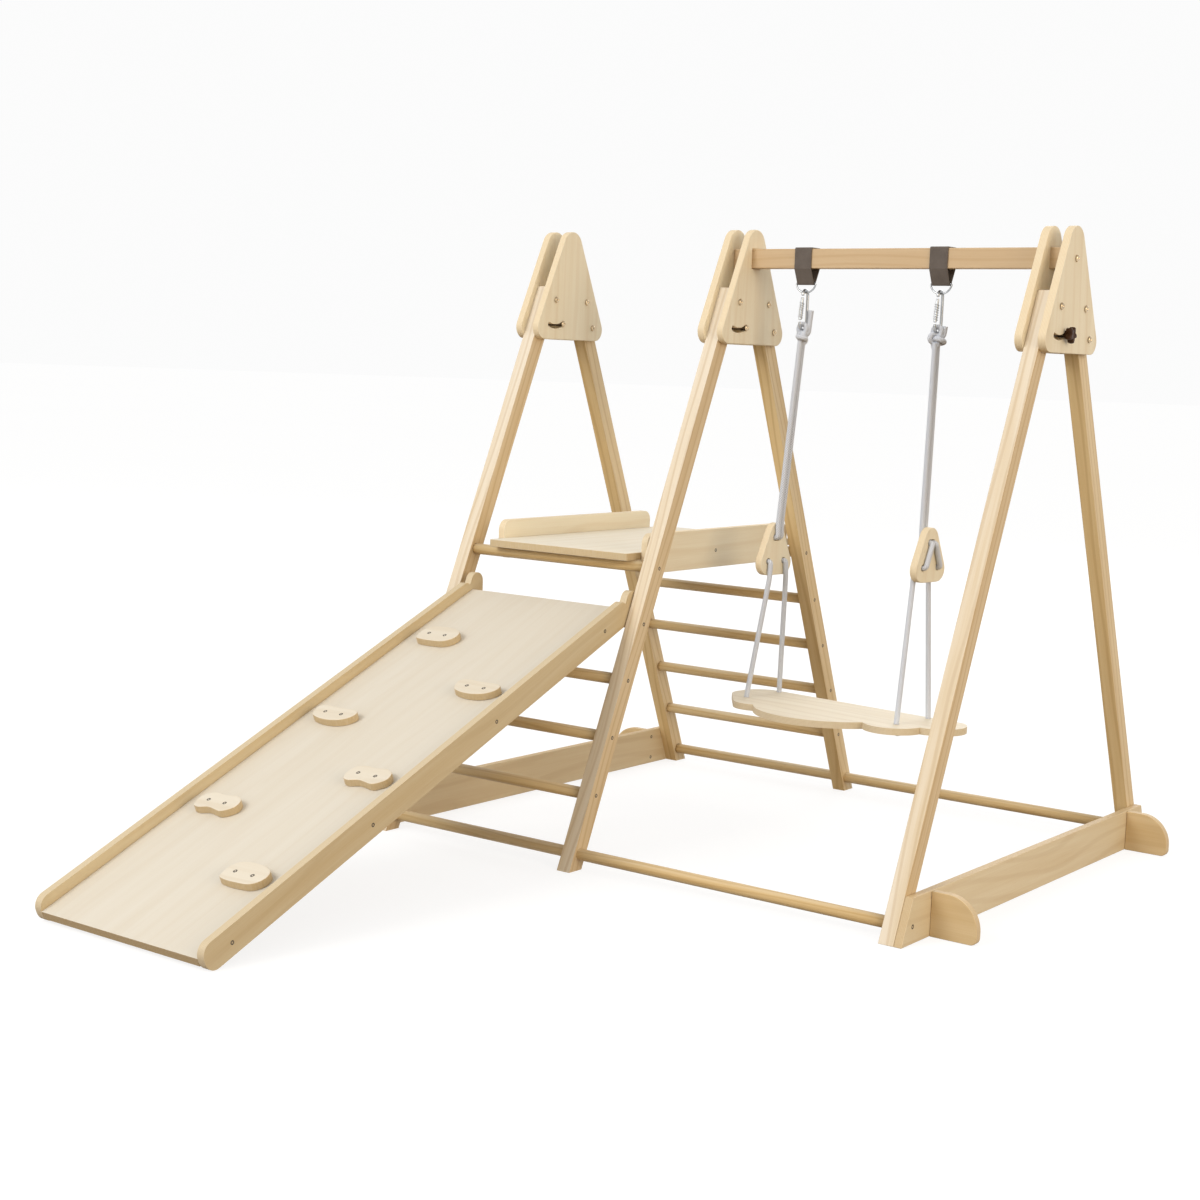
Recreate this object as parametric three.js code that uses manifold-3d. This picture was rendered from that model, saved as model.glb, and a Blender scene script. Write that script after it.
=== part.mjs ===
// Folding wooden play gym with a climbing ramp, two ladders, a platform and a swing.
// Millimetres. +X runs along the swing bar, +Y to the back (the ramp comes out of the front), +Z up.
// The floor is z = 0. Layout y is measured from the middle of the frame. OriginY moves it to the part's own
// origin.
import * as THREE from "three";
import Module from "manifold-3d";

const wasm = await Module();
wasm.setup();
const { Manifold, CrossSection } = wasm;

// ---- driving dimensions ----
const GAP = 0.3; // between pieces that touch
const PLY = 15;

// The three A-frames: legs of LegW x LegD bar between gusset plates.
const FrameX = [-572.2, -108.2, 572.2];
const LegW = 29;
const LegD = 35;
const FootY = 510.6; // leg centre line on the floor
const LegSlope = 0.4255; // run over rise of a leg, 23 degrees
const LegTopZ = 1102.5;

// Gusset plates: a triangle with three round corners.
const ApexZ = 1220;
const ApexR = 32;
const PlateBottomZ = 991.5;
const PlateCornerR = 24;
const PlateHalfW = 112.5;
const PivotZ = 1074.5;
const LockR = 56; // arc slot and lock bolt, from the pivot
const SlotHalf = 4.6;
const SlotFrom = -21; // degrees from straight down, + to the back
const SlotTo = 29;
const LockAt = 27;
const LockBoltR = 4;

// Ladders: six rungs at the same heights in front and behind. The lowest one runs on under the swing.
const RungR = 11;
const RungZ1 = 30;
const RungStep = 104.9;
const Rungs = 6;
const Socket = 10;

// Swing bar, through the inner plates of the middle and right frames.
const BarD = 30;
const BarH = 38;
const BarZ = 1162;

// Base boards outside the end frames, each with two outrigger feet.
const BoardH = 80;
const FootFrontY = -431;
const FootBackY = 418;
const FootLen = 87;
const FootH = 79;
const FootBigR = 57;
const FootToeR = 12;

// Platform: a deck on the top rungs with a board on edge under each side, between the rungs.
const PlatX = [-512, -135];
const DeckHalfY = 306;
const SideHalfY = 259;
const SideZ = [538.5, 617.5];
const SideR = 20;

// Ramp: lies on the floor in front and hooks over the fifth rung.
const RampAngle = 23.27;
const RampX = [-532, -125.3];
const RailH = 49;
const RailLip = 20; // rail above the deck
const RailOff = 2; // rail's lower edge above the rung's centre line
const RailEndR = 22;
const HumpTop = 61.5; // above the rung's centre line
const HumpR = 18;
const HookBack = 20.7; // behind the rung's centre
const HookWall = 9.2;
const HookDrop = 14; // below the rung's centre line
const HoldT = 15;
const HoldFirst = 205; // from the rung's centre, along the ramp
const HoldStep = 153.4;
const HoldHalfX = 110; // of the two columns

// Swing.
const StrapX = [40, 335];
const StrapW = 38;
const StrapT = 2.4;
const RingZ = 1116; // straight side of the D-ring, the swing's hinge line
const RingHalf = 22;
const RingDrop = 20;
const RingR = 2;
const SnapR = 3;
const SnapHalfW = 13;
const SnapTopR = 9.5;
const SnapLen = 78.3;
const RopeR = 5;
const KnotZ = 1008;
const KnotR = 15;
const TailTopZ = [1062, 1036]; // the rope's loose end stands up beside the snap hook
const SeatX = 184.5;
const SeatY = -55.5; // the seat hangs a little forward of the bar at rest
const SeatTopZ = 294;
const SeatT = 13;
const SeatTurn = -6.7; // degrees, how the seat hangs at rest
const SeatBackY = 62; // straight back edge, from the middle of the holes
const HoleX = 181;
const HoleY = 52;
const AdjH = 104;
const AdjHalfW = 48;
const AdjAt = [
  [15, -35.5, 642],
  [356, -34.5, 659],
]; // x, y and top of each
const AdjHoleR = 6.2;
const AdjTopHole = 75; // above its lower edge
const AdjLowHole = 28;
const AdjLowY = 24;
const StrandY = 5.2; // half the spacing of the two strands above the adjuster
const GateR = 3;

const deg = (a) => (a * Math.PI) / 180;
const BoardFrontY = -(FootY + (LegD / 2) * Math.hypot(1, LegSlope));
const rungZ = (i) => RungZ1 + i * RungStep;
const legY = (z) => FootY - z * LegSlope;
const PivotY = -legY(PivotZ);
const HookZ = rungZ(4);
const HookY = -legY(HookZ);
const rampCos = Math.cos(deg(RampAngle));
const rampSin = Math.sin(deg(RampAngle));
// From the rung to the foot's round end.
const rampReach = (HookZ + (RailOff + RailEndR) * rampCos - RailEndR) / rampSin;
const RampLen = rampReach + RailEndR;

const group = new THREE.Group();
group.name = "play_gym";
const wood = new THREE.MeshStandardMaterial({ color: 0xe6d3ae, roughness: 0.7 });
const barWood = new THREE.MeshStandardMaterial({ color: 0xc89a68, roughness: 0.65 });
const webbing = new THREE.MeshStandardMaterial({ color: 0x4b4643, roughness: 0.9 });
const rope = new THREE.MeshStandardMaterial({ color: 0xc9cacb, roughness: 0.9 });
const steel = new THREE.MeshStandardMaterial({ color: 0xb9bcc0, roughness: 0.3, metalness: 1 });
const knobPlastic = new THREE.MeshStandardMaterial({ color: 0x3a2a20, roughness: 0.5 });

// ---- helpers ----
// A closed outline in a plane, made thick. plane "yz": points are (y, z), thickness runs +X from x0.
// plane "xy": points are (x, y), thickness runs +Z from x0. plane "xz": points are (x, z), +Y from x0.
function plate(cross, plane, x0, t) {
  const s = cross.extrude(t);
  if (plane === "xy") return s.translate([0, 0, x0]);
  if (plane === "yz") return s.rotate([90, 0, 90]).translate([x0, 0, 0]);
  return s.rotate([90, 0, 0]).translate([0, x0 + t, 0]);
}

function poly(points) {
  return new CrossSection([points], "Positive");
}

function disc(x, y, r, n = 32) {
  return CrossSection.circle(r, n).translate([x, y]);
}

function hullOf(...parts) {
  return CrossSection.hull(parts);
}

// A straight round bar between two points.
function bar(a, b, r, n = 16) {
  const va = new THREE.Vector3(...a);
  const vb = new THREE.Vector3(...b);
  const d = vb.clone().sub(va);
  const q = new THREE.Quaternion().setFromUnitVectors(new THREE.Vector3(0, 0, 1), d.clone().normalize());
  const m = new THREE.Matrix4().compose(va, q, new THREE.Vector3(1, 1, 1));
  return Manifold.cylinder(d.length(), r, r, n).transform(m.elements);
}

function ball(p, r, n = 16, scale = [1, 1, 1]) {
  return Manifold.sphere(r, n).scale(scale).translate(p);
}

// The same points with every corner turned into an arc of radius r.
function rounded(points, r, steps = 3) {
  const p = points.map((q) => new THREE.Vector3(...q));
  const out = [p[0]];
  for (let i = 1; i + 1 < p.length; i++) {
    const back = p[i - 1].clone().sub(p[i]);
    const on = p[i + 1].clone().sub(p[i]);
    const half = back.angleTo(on) / 2;
    const reach = Math.min(r / Math.tan(half), back.length() * 0.49, on.length() * 0.49);
    const start = p[i].clone().addScaledVector(back.normalize(), reach);
    const end = p[i].clone().addScaledVector(on.normalize(), reach);
    const towards = start.clone().add(end).multiplyScalar(0.5).sub(p[i]).normalize();
    const centre = p[i].clone().addScaledVector(towards, reach / Math.cos(half));
    const from = start.clone().sub(centre);
    const axis = from.clone().cross(end.clone().sub(centre)).normalize();
    const turnBy = Math.PI - 2 * half;
    if (turnBy < 0.02) {
      out.push(p[i]);
      continue;
    }
    for (let k = 0; k <= steps; k++) {
      out.push(from.clone().applyAxisAngle(axis, (turnBy * k) / steps).add(centre));
    }
  }
  out.push(p[p.length - 1]);
  return out.map((q) => [q.x, q.y, q.z]);
}

// A round bar bent along points.
function bentBar(points, r, n = 12, closed = false) {
  const p = points.map((q) => new THREE.Vector3(...q));
  const count = p.length;
  const at = (i) => p[closed ? (i + count) % count : Math.min(Math.max(i, 0), count - 1)];
  const verts = [];
  const tris = [];
  let normal = null;
  for (let i = 0; i < count; i++) {
    const tangent = at(i + 1).clone().sub(at(i - 1)).normalize();
    if (!normal) normal = new THREE.Vector3(0.31, 0.83, 0.46);
    normal.addScaledVector(tangent, -normal.dot(tangent)).normalize();
    const side = tangent.clone().cross(normal);
    for (let k = 0; k < n; k++) {
      const a = (2 * Math.PI * k) / n;
      const v = p[i].clone().addScaledVector(normal, r * Math.cos(a)).addScaledVector(side, r * Math.sin(a));
      verts.push(v.x, v.y, v.z);
    }
  }
  const rings = closed ? count : count - 1;
  for (let i = 0; i < rings; i++) {
    const j = (i + 1) % count;
    for (let k = 0; k < n; k++) {
      const l = (k + 1) % n;
      tris.push(i * n + k, i * n + l, j * n + l, i * n + k, j * n + l, j * n + k);
    }
  }
  if (!closed) {
    for (let k = 1; k + 1 < n; k++) {
      tris.push(0, k + 1, k);
      tris.push((count - 1) * n, (count - 1) * n + k, (count - 1) * n + k + 1);
    }
  }
  const mesh = new wasm.Mesh({
    numProp: 3,
    vertProperties: new Float32Array(verts),
    triVerts: new Uint32Array(tris),
  });
  return new Manifold(mesh);
}

function arc(cx, cy, r, from, to, steps) {
  const out = [];
  for (let i = 0; i <= steps; i++) {
    const a = deg(from + ((to - from) * i) / steps);
    out.push([cx + r * Math.cos(a), cy + r * Math.sin(a)]);
  }
  return out;
}

// ---- origin: middle of the floor outline ----
const BackY = -BoardFrontY;
const FrontY = HookY - rampReach * rampCos - (RailOff + RailH - RailEndR) * rampSin - RailEndR;
const OriginY = (FrontY + BackY) / 2;

function add(name, solid, material) {
  const mesh = solid.translate([0, -OriginY, 0]).getMesh();
  const g = new THREE.BufferGeometry();
  g.setAttribute("position", new THREE.BufferAttribute(new Float32Array(mesh.vertProperties), 3));
  g.setIndex(new THREE.BufferAttribute(new Uint32Array(mesh.triVerts), 1));
  const flat = g.toNonIndexed();
  flat.computeVertexNormals();
  const m = new THREE.Mesh(flat, material);
  m.name = name;
  group.add(m);
}

// ---- legs ----
const legHalf = (LegD / 2) * Math.hypot(1, LegSlope);

// side -1 front, +1 back
function legOutline(side) {
  const at = (z, d) => [side * legY(z) + d, z];
  return poly([at(0, -legHalf), at(0, legHalf), at(LegTopZ, legHalf), at(LegTopZ, -legHalf)]);
}

// The front leg's curved slot, open to its back face, that takes the lock bolt as the frame folds.
function lockSlot() {
  const outer = [];
  const inner = [];
  for (let a = -26; a <= 12; a += 2) {
    const s = Math.sin(deg(a));
    const c = Math.cos(deg(a));
    outer.push([PivotY + (LockR + 5.5) * s, PivotZ - (LockR + 5.5) * c]);
    inner.unshift([PivotY + (LockR - 5.5) * s, PivotZ - (LockR - 5.5) * c]);
  }
  return poly([...outer, ...inner]);
}

const sides = [
  ["front", -1],
  ["rear", 1],
];
FrameX.forEach((x, i) => {
  for (const [word, side] of sides) {
    let outline = legOutline(side);
    if (side < 0) outline = outline.subtract(lockSlot());
    let solid = plate(outline, "yz", x - LegW / 2, LegW);
    for (let r = 0; r < Rungs; r++) {
      if (i === 2 && r > 0) continue;
      const inward = i === 0 ? 1 : -1;
      const through = i === 1 && r === 0;
      const from = through ? x - LegW : x + (inward * LegW) / 2 - inward * Socket;
      const to = through ? x + LegW : x + inward * LegW;
      const y = side * legY(rungZ(r));
      solid = solid.subtract(bar([from, y, rungZ(r)], [to, y, rungZ(r)], RungR + GAP, 24));
    }
    add(`${word}_leg_${i}`, solid, wood);
  }
});

// ---- gusset plates ----
const plateCorner = PlateHalfW - PlateCornerR;
const plateOutline = hullOf(
  disc(0, ApexZ - ApexR, ApexR, 48),
  disc(-plateCorner, PlateBottomZ + PlateCornerR, PlateCornerR, 40),
  disc(plateCorner, PlateBottomZ + PlateCornerR, PlateCornerR, 40),
);

function arcSlot() {
  const parts = [];
  const at = (a) => [PivotY + LockR * Math.sin(deg(a)), PivotZ - LockR * Math.cos(deg(a))];
  for (let a = SlotFrom; a < SlotTo; a += 5) {
    parts.push(hullOf(disc(...at(a), SlotHalf, 16), disc(...at(a + 5), SlotHalf, 16)));
  }
  return CrossSection.union(parts);
}

const barHole = CrossSection.square([BarD + 2 * GAP, BarH + 2 * GAP], true).translate([0, BarZ]);
FrameX.forEach((x, i) => {
  for (const [word, side] of [
    ["left", -1],
    ["right", 1],
  ]) {
    let outline = plateOutline.subtract(arcSlot());
    const takesBar = (i === 1 && side > 0) || (i === 2 && side < 0);
    if (takesBar) outline = outline.subtract(barHole);
    const inner = x + side * (LegW / 2 + GAP);
    add(`gusset_${i}_${word}`, plate(outline, "yz", Math.min(inner, inner + side * PLY), PLY), wood);
  }
});

// ---- rungs ----
const innerLeft = FrameX[0] + LegW / 2;
const innerMiddle = FrameX[1] - LegW / 2;
const innerRight = FrameX[2] - LegW / 2;
for (const [word, side] of sides) {
  for (let r = 0; r < Rungs; r++) {
    const z = rungZ(r);
    const y = side * legY(z);
    const end = (r === 0 ? innerRight : innerMiddle) + Socket - GAP;
    add(`${word}_rung_${r + 1}`, bar([innerLeft - Socket + GAP, y, z], [end, y, z], RungR, 24), wood);
  }
}

// ---- swing bar ----
const barFrom = FrameX[1] - LegW / 2;
const barTo = FrameX[2] + LegW / 2;
const swingBar = Manifold.cube([barTo - barFrom, BarD, BarH], true);
add("swing_bar", swingBar.translate([(barFrom + barTo) / 2, 0, BarZ]), barWood);

// ---- base boards and outrigger feet ----
const boardTopY = -BoardFrontY - LegSlope * BoardH;
const boardOutline = poly([
  [BoardFrontY, 0],
  [-BoardFrontY, 0],
  [boardTopY, BoardH],
  [-boardTopY, BoardH],
]);
const footOutline = (out) => {
  const toe = FootLen - FootToeR;
  const points = [
    [0, 0],
    [toe, 0],
    ...arc(toe, FootToeR, FootToeR, -90, 0, 6),
    ...arc(FootLen - FootBigR, FootH - FootBigR, FootBigR, 0, 90, 16),
    [0, FootH],
  ];
  return out > 0 ? poly(points) : poly(points.map(([a, b]) => [-a, b]).reverse());
};
for (const [word, i, out] of [
  ["left", 0, -1],
  ["right", 2, 1],
]) {
  const face = FrameX[i] + out * (LegW / 2 + GAP);
  add(`base_board_${word}`, plate(boardOutline, "yz", Math.min(face, face + out * PLY), PLY), wood);
  const root = face + out * (PLY + GAP);
  for (const [end, y] of [
    ["front", FootFrontY],
    ["rear", FootBackY],
  ]) {
    const solid = plate(footOutline(out).translate([root, 0]), "xz", y, PLY);
    add(`outrigger_${word}_${end}`, solid, wood);
  }
}

// ---- platform ----
const deckZ = rungZ(5) + RungR + GAP;
const deckX0 = PlatX[0] + PLY + GAP;
const deckX1 = PlatX[1] - PLY - GAP;
const deckRound = hullOf(
  ...[-1, 1].flatMap((s) => [deckX0 + 4, deckX1 - 4].map((x) => disc(x, s * (DeckHalfY - 4), 4, 16))),
);
add("platform_deck", plate(deckRound, "xy", deckZ, PLY), wood);
const sideOutline = hullOf(
  ...[-1, 1].flatMap((s) => [
    disc(s * (SideHalfY - SideR), SideZ[0] + SideR, SideR, 32),
    disc(s * (SideHalfY - SideR), SideZ[1] - SideR, SideR, 32),
  ]),
);
add("platform_side_left", plate(sideOutline, "yz", PlatX[0], PLY), wood);
add("platform_side_right", plate(sideOutline, "yz", PlatX[1] - PLY, PLY), wood);

// ---- ramp ----
// Built level, with the rung's centre at (0, 0) and the foot to -Y, then tilted onto the rung.
function onRamp(solid) {
  return solid.rotate([RampAngle, 0, 0]).translate([0, HookY, HookZ]);
}

const railTop = RailOff + RailH;
const railBody = hullOf(
  disc(-rampReach, RailOff + RailEndR, RailEndR, 40),
  disc(-rampReach, railTop - RailEndR, RailEndR, 40),
  disc(-16, railTop - 14, 14, 32),
  CrossSection.square([20, 20]).translate([-20, RailOff]),
);
// The hook is upright, so it is drawn upright and leaned back onto the rail.
const hookBody = CrossSection.union([
  hullOf(
    disc(HookBack - HumpR, HumpTop - HumpR, HumpR, 40),
    disc(-16, 33, 5, 16),
    CrossSection.square([26, 20]).translate([HookBack - 26, 4]),
  ),
  hullOf(
    CrossSection.square([HookWall, 20]).translate([HookBack - HookWall, 0]),
    disc(HookBack - HookWall / 2, HookWall / 2 - HookDrop, HookWall / 2, 20),
  ),
]).rotate(-RampAngle);
const filler = CrossSection.square([34, 33]).translate([-20, RailOff]);
const railOutline = CrossSection.union([railBody, hookBody, filler]);
const rungSlot = hullOf(disc(0, 0, RungR + GAP, 40), disc(0, -30, RungR + GAP, 40)).rotate(-RampAngle);
const rail = railOutline.subtract(rungSlot);
for (const [word, x] of [
  ["left", RampX[0]],
  ["right", RampX[1] - PLY],
]) {
  add(`ramp_rail_${word}`, onRamp(plate(rail, "yz", x, PLY)), wood);
}
const rampDeckTop = railTop - RailLip;
const rampDeckX0 = RampX[0] + PLY + GAP;
const rampDeckX1 = RampX[1] - PLY - GAP;
add(
  "ramp_deck",
  onRamp(
    Manifold.cube([rampDeckX1 - rampDeckX0, RampLen, PLY])
      .translate([rampDeckX0, -RampLen, rampDeckTop - PLY]),
  ),
  wood,
);

// Climbing holds, three outlines used twice, as (across, up the ramp) from the middle of the two screws.
const trapezoid = [
  [-38, -20], [-20, -24], [4, -24], [30, -21], [43, -11], [48, 4],
  [42, 20], [20, 29], [-10, 30], [-32, 24], [-42, 8], [-42, -8],
];
const halfMoon = [
  [-40, -14], [-22, -21], [0, -23], [24, -19], [40, -10], [49, 4],
  [48, 14], [40, 20], [0, 20], [-40, 20], [-48, 13], [-48, 0],
];
const bean = [
  [-37, -21], [-24, -24], [-4, -18], [12, -20], [29, -22], [43, -12], [49, 1],
  [43, 18], [26, 26], [2, 22], [-20, 24], [-38, 16], [-44, -2],
];
const rampMid = (RampX[0] + RampX[1]) / 2;
[trapezoid, halfMoon, halfMoon, bean, bean, trapezoid].forEach((outline, k) => {
  const curve = new THREE.CatmullRomCurve3(
    outline.map(([a, b]) => new THREE.Vector3(a, b, 0)),
    true,
  );
  const points = curve.getPoints(48).slice(0, 48).map((p) => [p.x, p.y]);
  const across = rampMid + (k % 2 ? HoldHalfX : -HoldHalfX);
  const along = -HoldFirst - k * HoldStep;
  const solid = plate(poly(points), "xy", rampDeckTop + GAP, HoldT).translate([across, along, 0]);
  add(`climbing_hold_${k + 1}`, onRamp(solid), wood);
});

// ---- straps ----
const barBox = (grow) => CrossSection.square([BarD + 2 * grow, BarH + 2 * grow], true).translate([0, BarZ]);
const loopOuter = hullOf(barBox(GAP + StrapT), disc(0, RingZ, RingR + GAP + StrapT, 24));
const loopInner = hullOf(barBox(GAP), disc(0, RingZ, RingR + GAP, 24));
const strapLoop = loopOuter.subtract(loopInner);
["left", "right"].forEach((word, i) => {
  add(`strap_${word}`, plate(strapLoop, "yz", StrapX[i] - StrapW / 2, StrapW), webbing);
});

// ---- swing: rings, snap hooks, ropes, adjusters, seat ----
const turn = deg(SeatTurn);
const spin = (x, y) => [x * Math.cos(turn) - y * Math.sin(turn), x * Math.sin(turn) + y * Math.cos(turn)];
const lean = (deg(90) - Math.atan2(RingZ - SeatTopZ, -SeatY)) * (180 / Math.PI);
const leanOver = (solid) => solid.translate([0, 0, -RingZ]).rotate([-lean, 0, 0]).translate([0, 0, RingZ]);
const leanPoint = ([x, y, z]) => [
  x,
  y * Math.cos(deg(lean)) + (z - RingZ) * Math.sin(deg(lean)),
  RingZ + (z - RingZ) * Math.cos(deg(lean)) - y * Math.sin(deg(lean)),
];
const snapTopZ = RingZ - RingDrop + RingR + SnapR + GAP;
const snapBottomZ = snapTopZ - SnapLen;

["left", "right"].forEach((word, i) => {
  const x = StrapX[i];
  const hand = i === 0 ? -1 : 1;
  const bow = arc(0, 0, 1, 186, 354, 14).map(([px, pz]) => [x + px * RingHalf, 0, RingZ + pz * RingDrop]);
  const top = [-1, 0, 1].map((k) => [x - k * (RingHalf - 2), 0, RingZ]);
  add(`d_ring_${word}`, leanOver(bentBar([...bow, ...top], RingR, 8, true)), steel);

  // Snap hook: a bent wire, its front side closed by a sprung gate on the hook's lower end.
  const topC = snapTopZ - SnapTopR;
  const botC = snapBottomZ + SnapHalfW;
  const path = [
    ...arc(0, topC, SnapTopR, 195, 0, 10).map(([py, pz]) => [x, py, pz]),
    ...arc(0, botC, SnapHalfW, 0, -190, 10).map(([py, pz]) => [x, py, pz]),
  ];
  const nose = path[0];
  const heel = path[path.length - 1];
  add(`snap_hook_${word}`, leanOver(bentBar(path, SnapR, 12)), steel);
  const reach = new THREE.Vector3(...nose).sub(new THREE.Vector3(...heel));
  const clear = (SnapR + GAP) / reach.length();
  const along = (t) => [x, heel[1] + reach.y * t, heel[2] + reach.z * t];
  add(`snap_gate_${word}`, leanOver(bar(along(clear), along(1 - clear), GateR, 12)), steel);

  // Adjuster: a round-cornered triangle standing across the rope, which threads through its three holes.
  const [midX, midY, topZ] = AdjAt[i];
  const outline = hullOf(
    disc(0, AdjH - 22, 22, 28),
    disc(24 - AdjHalfW, 24, 24, 28),
    disc(AdjHalfW - 24, 24, 24, 28),
  )
    .subtract(hullOf(disc(-StrandY, AdjTopHole, AdjHoleR, 16), disc(StrandY, AdjTopHole, AdjHoleR, 16)))
    .subtract(disc(-AdjLowY, AdjLowHole, AdjHoleR, 16))
    .subtract(disc(AdjLowY, AdjLowHole, AdjHoleR, 16));
  const adjuster = plate(outline, "yz", -PLY / 2, PLY).rotate([0, 0, SeatTurn]);
  add(`adjuster_${word}`, adjuster.translate([midX, midY, topZ - AdjH]), wood);

  // Rope: two strands from the knot, through the adjuster's top hole, spread across its far face,
  // out again through the lower holes, down through the seat's two holes and joined underneath it.
  const onPlate = (lx, ly, lz) => {
    const [dx, dy] = spin(lx, ly);
    return [midX + dx, midY + dy, topZ - AdjH + lz];
  };
  const near = -hand * (PLY / 2 + RopeR + 0.6);
  const knot = leanPoint([x, 0, KnotZ]);
  const strand = (side) => {
    const [dx, dy] = spin(hand * HoleX, side * HoleY);
    const foot = [SeatX + dx, SeatY + dy];
    return [
      [...foot, SeatTopZ - SeatT - RopeR - 0.6],
      [...foot, SeatTopZ + 3],
      onPlate(near, side * (AdjLowY + 2), -6),
      onPlate(near, side * AdjLowY, AdjLowHole),
      onPlate(-near, side * AdjLowY, AdjLowHole),
      onPlate(-near, side * StrandY, AdjTopHole),
      onPlate(near, side * StrandY, AdjTopHole),
      onPlate(near, side * StrandY, AdjH + 4),
      [knot[0], knot[1] + side * StrandY, knot[2]],
    ];
  };
  const bight = [...strand(-1).reverse(), ...strand(1)];
  const eye = [
    knot,
    ...arc(0, snapBottomZ, SnapR + RopeR + 0.6, 200, -20, 8).map(([px, pz]) => leanPoint([x + px, 0, pz])),
    knot,
  ];
  const tail = [knot, leanPoint([x + 11, 5, KnotZ + 10]), leanPoint([x + 13, 6, TailTopZ[i]])];
  const knotBall = ball(knot, KnotR, 20, [1.1, 1, 0.8]);
  const wholeRope = Manifold.union([
    bentBar(rounded(bight, RopeR + 0.6), RopeR, 8),
    bentBar(eye, RopeR, 8),
    bentBar(rounded(tail, 10), RopeR, 8),
    knotBall,
  ]);
  add(`rope_${word}`, wholeRope, rope);
});

// Seat: a cloud with a straight back edge.
let cloud = CrossSection.union([
  hullOf(disc(-188, 10, 52, 48), disc(226, 8, 54, 48)),
  hullOf(disc(-188, -8, 52, 48), disc(-140, -70, 47, 48)),
  disc(0, -17.5, 149.5, 64),
  disc(171, -48, 58, 48),
  disc(226, 12, 58, 48),
]);
cloud = cloud.intersect(CrossSection.square([700, 400], true).translate([0, SeatBackY - 200]));
for (const sx of [-1, 1]) {
  for (const sy of [-1, 1]) cloud = cloud.subtract(disc(sx * HoleX, sy * HoleY, RopeR + 1, 20));
}
const seat = plate(cloud, "xy", SeatTopZ - SeatT, SeatT).rotate([0, 0, SeatTurn]);
add("swing_seat", seat.translate([SeatX, SeatY, 0]), wood);

// ---- lock bolts with their star knobs: a bolt through both plates of each frame ----
FrameX.forEach((x, i) => {
  const out = i === 2 ? 1 : -1;
  const half = LegW / 2 + GAP + PLY + GAP;
  const y = PivotY + LockR * Math.sin(deg(LockAt));
  const z = PivotZ - LockR * Math.cos(deg(LockAt));
  const petals = [disc(0, 0, 11, 24)];
  for (let k = 0; k < 5; k++) {
    const a = deg(72 * k + 90);
    petals.push(disc(10.5 * Math.cos(a), 10.5 * Math.sin(a), 5.2, 20));
  }
  const star = plate(CrossSection.union(petals), "yz", 0, 12);
  const collar = bar([0, 0, 0], [5, 0, 0], 7.5, 24);
  const knob = star.translate([4, 0, 0]).add(collar);
  const shaft = bar([-2 * half - 0.2, 0, 0], [1, 0, 0], LockBoltR, 20);
  const head = bar([-2 * half - 4, 0, 0], [-2 * half, 0, 0], 7.5, 24);
  let solid = knob.add(shaft).add(head);
  if (out < 0) solid = solid.rotate([0, 0, 180]);
  add(`lock_knob_${i}`, solid.translate([x + out * half, y, z]), knobPlastic);
});

export default group;
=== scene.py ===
"""Looks for the folding play gym: wood, rounded edges, fasteners, webbing and braided rope on the CAD frame."""

import math
import random

import bmesh
import bpy
import numpy as np
from mathutils import Matrix, Vector


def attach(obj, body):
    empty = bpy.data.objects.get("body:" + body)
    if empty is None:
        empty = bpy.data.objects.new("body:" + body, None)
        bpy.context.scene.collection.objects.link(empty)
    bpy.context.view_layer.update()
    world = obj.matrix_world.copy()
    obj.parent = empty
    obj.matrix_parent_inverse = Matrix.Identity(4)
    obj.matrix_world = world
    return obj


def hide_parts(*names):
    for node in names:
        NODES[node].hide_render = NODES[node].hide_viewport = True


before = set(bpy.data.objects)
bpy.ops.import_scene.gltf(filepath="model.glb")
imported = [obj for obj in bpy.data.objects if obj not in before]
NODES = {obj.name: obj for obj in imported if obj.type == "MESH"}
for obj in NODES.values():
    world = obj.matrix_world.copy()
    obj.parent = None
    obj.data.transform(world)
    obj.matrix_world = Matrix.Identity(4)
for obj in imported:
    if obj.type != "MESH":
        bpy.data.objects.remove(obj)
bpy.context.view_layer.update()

# ---- the CAD's dimensions, in metres, y from the middle of the A-frames ----
ORIGIN_Y = 0.4343553  # layout y to row y
FRAME_X = [-0.5722, -0.1082, 0.5722]
LEG_W = 0.029
GAP = 0.0003
PLY = 0.015
FOOT_Y = 0.5106
LEG_SLOPE = 0.4255
RUNG_Z1 = 0.030
RUNG_STEP = 0.1049
PIVOT_Z = 1.0745
LOCK_R = 0.056
LOCK_AT = math.radians(27)
BAR_Z = 1.162
BAR_HALF = (0.015, 0.019)
PLAT_X = (-0.512, -0.135)
RAMP_TILT = math.radians(23.27)
RAMP_X = (-0.532, -0.1253)
DECK_TOP = 0.031
HOLD_T = 0.015
HOLD_FIRST = 0.205
HOLD_STEP = 0.1534
HOLD_HALF_X = 0.110
STRAP_X = [0.040, 0.335]
STRAP_W = 0.038
STRAP_T = 0.0024
RING_Z = 1.116
RING_R = 0.002
SNAP_R = 0.003
GATE_HEEL = (-0.0128, 1.0383)
GATE_NOSE = (-0.0092, 1.0893)
SNAP_BOTTOM_Z = 1.116 - 0.020 + 0.002 + 0.003 + 0.0003 - 0.0783
ROPE_R = 0.005
KNOT_Z = 1.008
KNOT_SIZE = [0.0122, 0.0145]
KNOT_HALF_HEIGHT = 0.0058
TAIL_TOP_Z = [1.062, 1.036]
SEAT_X = 0.1845
SEAT_Y = -0.0555
SEAT_TOP_Z = 0.294
SEAT_T = 0.013
SEAT_TURN = math.radians(-6.7)
HOLE_X = 0.181
HOLE_Y = 0.052
ADJ_H = 0.104
ADJ_AT = [(0.015, -0.0355, 0.642), (0.356, -0.0345, 0.659)]
ADJ_TOP_HOLE = 0.075
ADJ_LOW_HOLE = 0.028
ADJ_LOW_Y = 0.024
STRAND_Y = 0.0052


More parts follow.
